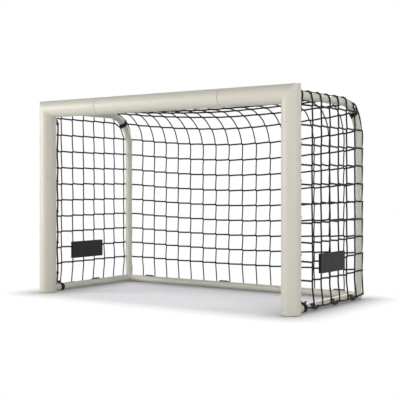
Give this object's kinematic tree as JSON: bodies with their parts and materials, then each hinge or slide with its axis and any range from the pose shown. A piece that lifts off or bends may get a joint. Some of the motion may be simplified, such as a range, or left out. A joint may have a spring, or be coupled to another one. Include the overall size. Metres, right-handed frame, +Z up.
{
  "type": "soccer goal",
  "caption": "Small steel garden goal with a thick round front frame, a thin bent rear frame on the ground and a black net clipped over it.",
  "frame": {"origin": "on the ground under the middle of the goal's bounding box", "axes": "+X along the crossbar, from the left post to the right one as seen from the front; +Y from the mouth into the goal's depth; +Z up"},
  "size_m": [1.352, 0.6443, 0.876],
  "materials": {
    "coated_steel": "smooth off-white powder coat, slightly glossy",
    "zinc_steel": "bright zinc plate",
    "black_plastic": "moulded black plastic",
    "black_cord": "dull black twisted cord",
    "black_webbing": "black woven strap",
    "patch_fabric": "black coated fabric, plain"
  },
  "bodies": {
    "goal": {"crossbar_middle": "coated_steel", "net_back": "black_cord", "net_lower_bend": "black_cord", "net_upper_bend": "black_cord", "net_top": "black_cord", "net_left": "black_cord", "net_right": "black_cord", "edge_rope": "black_cord", "rear_bar_left": "coated_steel", "rear_bar_right": "coated_steel", "corner_left": "coated_steel", "corner_right": "coated_steel", "post_left": "coated_steel", "post_right": "coated_steel", "post_sleeve_left": "zinc_steel", "post_sleeve_right": "zinc_steel", "crossbar_sleeve_left": "zinc_steel", "crossbar_sleeve_right": "zinc_steel", "foot_cap_left": "black_plastic", "foot_cap_right": "black_plastic", "arm_left": "coated_steel", "arm_right": "coated_steel", "rear_corner_left": "coated_steel", "rear_corner_right": "coated_steel", "rear_foot_cap_left": "black_plastic", "rear_foot_cap_right": "black_plastic", "side_bar_left": "coated_steel", "side_bar_right": "coated_steel", "arm_strap_left": "black_webbing", "arm_strap_right": "black_webbing", "bar_strap_left": "black_webbing", "bar_strap_right": "black_webbing", "patch_left": "patch_fabric", "patch_right": "patch_fabric", "side_clip_left_1": "black_plastic", "side_clip_left_2": "black_plastic", "side_clip_left_3": "black_plastic", "side_clip_right_1": "black_plastic", "side_clip_right_2": "black_plastic", "side_clip_right_3": "black_plastic", "rear_clip_1": "black_plastic", "rear_clip_2": "black_plastic", "rear_clip_3": "black_plastic"},
    "crossbar_button_left": {"crossbar_button_left": "zinc_steel"},
    "post_button_left": {"post_button_left": "zinc_steel"},
    "arm_button_left": {"arm_button_left": "zinc_steel"},
    "upright_button_left": {"upright_button_left": "zinc_steel"},
    "side_front_button_left": {"side_front_button_left": "zinc_steel"},
    "side_rear_button_left": {"side_rear_button_left": "zinc_steel"},
    "rear_bar_button_left": {"rear_bar_button_left": "zinc_steel"},
    "crossbar_button_right": {"crossbar_button_right": "zinc_steel"},
    "post_button_right": {"post_button_right": "zinc_steel"},
    "arm_button_right": {"arm_button_right": "zinc_steel"},
    "upright_button_right": {"upright_button_right": "zinc_steel"},
    "side_front_button_right": {"side_front_button_right": "zinc_steel"},
    "side_rear_button_right": {"side_rear_button_right": "zinc_steel"},
    "rear_bar_button_right": {"rear_bar_button_right": "zinc_steel"},
    "rear_bar_button_middle": {"rear_bar_button_middle": "zinc_steel"}
  },
  "joints": [
    {"name": "crossbar_button_left_press", "type": "hinge", "parent": "goal", "child": "crossbar_button_left", "pos_m": [-0.322, -0.25099, 0.838], "axis": [0, 0, -1], "range_deg": [0, 8.9], "stiffness_Nm_per_rad": 0.6, "springref_deg": -6.88},
    {"name": "post_button_left_press", "type": "hinge", "parent": "goal", "child": "post_button_left", "pos_m": [-0.638, -0.25099, 0.598], "axis": [1, 0, 0], "range_deg": [0, 8.9], "stiffness_Nm_per_rad": 0.6, "springref_deg": -6.88},
    {"name": "arm_button_left_press", "type": "hinge", "parent": "goal", "child": "arm_button_left", "pos_m": [-0.64998, -0.22325, 0.838], "axis": [0, 0, -1], "range_deg": [0, 7.5], "stiffness_Nm_per_rad": 0.6, "springref_deg": -6.88},
    {"name": "upright_button_left_press", "type": "hinge", "parent": "goal", "child": "upright_button_left", "pos_m": [-0.6347, 0.28223, 0.59], "axis": [-0.9613, -0.2756, 0], "range_deg": [0, 7.5], "stiffness_Nm_per_rad": 0.6, "springref_deg": -6.88},
    {"name": "side_front_button_left_press", "type": "hinge", "parent": "goal", "child": "side_front_button_left", "pos_m": [-0.64998, -0.19825, 0.0175], "axis": [0, 0, -1], "range_deg": [0, 7.5], "stiffness_Nm_per_rad": 0.6, "springref_deg": -6.88},
    {"name": "side_rear_button_left_press", "type": "hinge", "parent": "goal", "child": "side_rear_button_left", "pos_m": [-0.64998, 0.18475, 0.0175], "axis": [0, 0, 1], "range_deg": [0, 7.5], "stiffness_Nm_per_rad": 0.6, "springref_deg": -6.88},
    {"name": "rear_bar_button_left_press", "type": "hinge", "parent": "goal", "child": "rear_bar_button_left", "pos_m": [-0.494, 0.30573, 0.0175], "axis": [0, 0, -1], "range_deg": [0, 7.5], "stiffness_Nm_per_rad": 0.6, "springref_deg": -6.88},
    {"name": "crossbar_button_right_press", "type": "hinge", "parent": "goal", "child": "crossbar_button_right", "pos_m": [0.322, -0.25099, 0.838], "axis": [0, 0, 1], "range_deg": [0, 8.9], "stiffness_Nm_per_rad": 0.6, "springref_deg": -6.88},
    {"name": "post_button_right_press", "type": "hinge", "parent": "goal", "child": "post_button_right", "pos_m": [0.638, -0.25099, 0.598], "axis": [1, 0, 0], "range_deg": [0, 8.9], "stiffness_Nm_per_rad": 0.6, "springref_deg": -6.88},
    {"name": "arm_button_right_press", "type": "hinge", "parent": "goal", "child": "arm_button_right", "pos_m": [0.62602, -0.22325, 0.838], "axis": [0, 0, -1], "range_deg": [0, 7.5], "stiffness_Nm_per_rad": 0.6, "springref_deg": -6.88},
    {"name": "upright_button_right_press", "type": "hinge", "parent": "goal", "child": "upright_button_right", "pos_m": [0.6413, 0.28223, 0.59], "axis": [-0.9613, -0.2756, 0], "range_deg": [0, 7.5], "stiffness_Nm_per_rad": 0.6, "springref_deg": -6.88},
    {"name": "side_front_button_right_press", "type": "hinge", "parent": "goal", "child": "side_front_button_right", "pos_m": [0.62602, -0.19825, 0.0175], "axis": [0, 0, -1], "range_deg": [0, 7.5], "stiffness_Nm_per_rad": 0.6, "springref_deg": -6.88},
    {"name": "side_rear_button_right_press", "type": "hinge", "parent": "goal", "child": "side_rear_button_right", "pos_m": [0.62602, 0.18475, 0.0175], "axis": [0, 0, 1], "range_deg": [0, 7.5], "stiffness_Nm_per_rad": 0.6, "springref_deg": -6.88},
    {"name": "rear_bar_button_right_press", "type": "hinge", "parent": "goal", "child": "rear_bar_button_right", "pos_m": [0.494, 0.30573, 0.0175], "axis": [0, 0, 1], "range_deg": [0, 7.5], "stiffness_Nm_per_rad": 0.6, "springref_deg": -6.88},
    {"name": "rear_bar_button_middle_press", "type": "hinge", "parent": "goal", "child": "rear_bar_button_middle", "pos_m": [-0.0985, 0.30573, 0.0175], "axis": [0, 0, 1], "range_deg": [0, 7.5], "stiffness_Nm_per_rad": 0.6, "springref_deg": -6.88}
  ]
}
